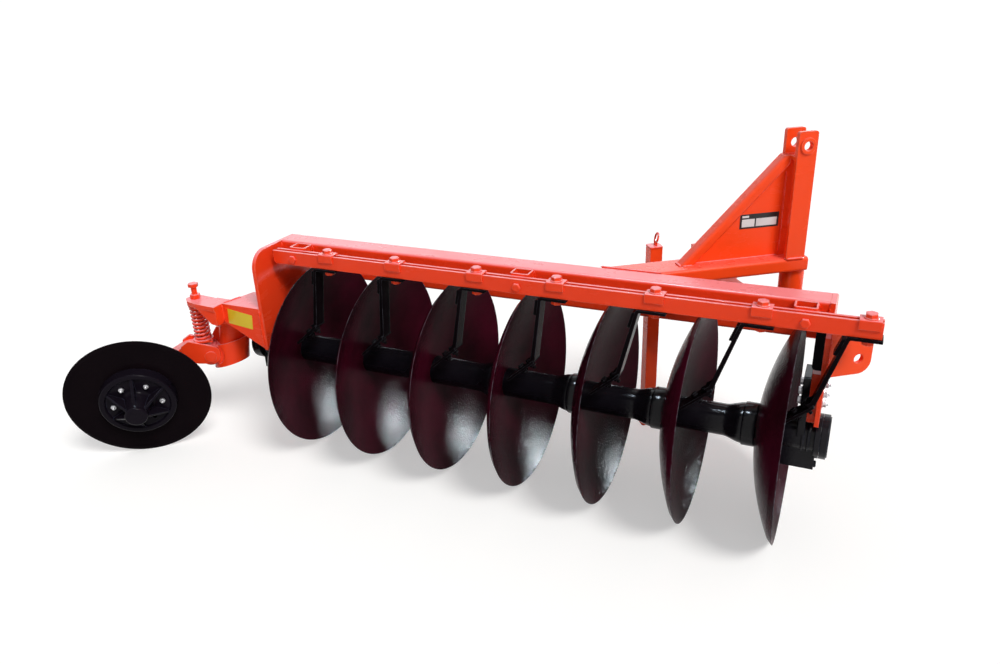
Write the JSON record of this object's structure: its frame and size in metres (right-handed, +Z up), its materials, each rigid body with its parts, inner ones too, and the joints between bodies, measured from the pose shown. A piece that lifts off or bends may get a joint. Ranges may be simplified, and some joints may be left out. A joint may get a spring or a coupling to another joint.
{
  "type": "disc harrow",
  "caption": "Mounted one-way disc harrow: concave discs on one shaft under an orange frame, scrapers, a three-point hitch, a parking stand and a leaning furrow wheel.",
  "frame": {"origin": "on the floor under the centre of the whole machine's box", "axes": "+X along the gang shaft towards its front end, on the side that the discs' hollows face; +Y across the gang, away from the scraper bar, towards the tractor's side; +Z up"},
  "size_m": [2.341, 1.1476, 1.0422],
  "materials": {
    "orange_paint": "gloss",
    "black_paint": "gloss",
    "black_casting": "gloss",
    "black_steel": "gloss"
  },
  "bodies": {
    "frame": {"right_bearing": "black_casting", "left_bearing": "black_casting", "bearing_caps": "black_casting", "gang_beam": "orange_paint", "front_beam": "orange_paint", "left_end_plate": "orange_paint", "right_end_plate": "orange_paint", "end_strap": "black_paint", "scraper_bar": "orange_paint", "bar_brackets": "orange_paint", "bar_clips": "orange_paint", "scrapers": "black_paint", "hitch_arm": "orange_paint", "hitch_post": "orange_paint", "mast": "orange_paint", "mast_gusset": "orange_paint", "mast_brace": "orange_paint", "right_link_lug": "orange_paint", "left_link_lug": "orange_paint", "left_link_arm": "orange_paint", "stand_sleeve": "orange_paint", "wheel_axle": "black_steel", "wheel_lever": "orange_paint", "lever_pin": "orange_paint", "swivel": "orange_paint", "wheel_bracket": "orange_paint", "spring_bracket": "orange_paint", "spring": "orange_paint", "spring_bolt": "orange_paint"},
    "gang": {"discs": "black_paint", "spools": "black_casting", "gang_shaft": "black_steel"},
    "furrow_wheel_body": {"furrow_wheel": "black_paint", "wheel_hub": "black_casting"},
    "stand": {"stand_leg": "orange_paint"}
  },
  "joints": [
    {"name": "gang_turn", "type": "hinge", "parent": "frame", "child": "gang", "pos_m": [0.24649, -0.05683, 0.305], "axis": [1, 0, 0], "continuous": true},
    {"name": "furrow_wheel_turn", "type": "hinge", "parent": "frame", "child": "furrow_wheel_body", "pos_m": [-0.9935, -0.42783, 0.21943], "axis": [0.6165, -0.7613, -0.2011], "continuous": true},
    {"name": "stand_slide", "type": "slide", "parent": "frame", "child": "stand", "axis": [0, 0, 1], "range_m": [0, 0.35]}
  ]
}
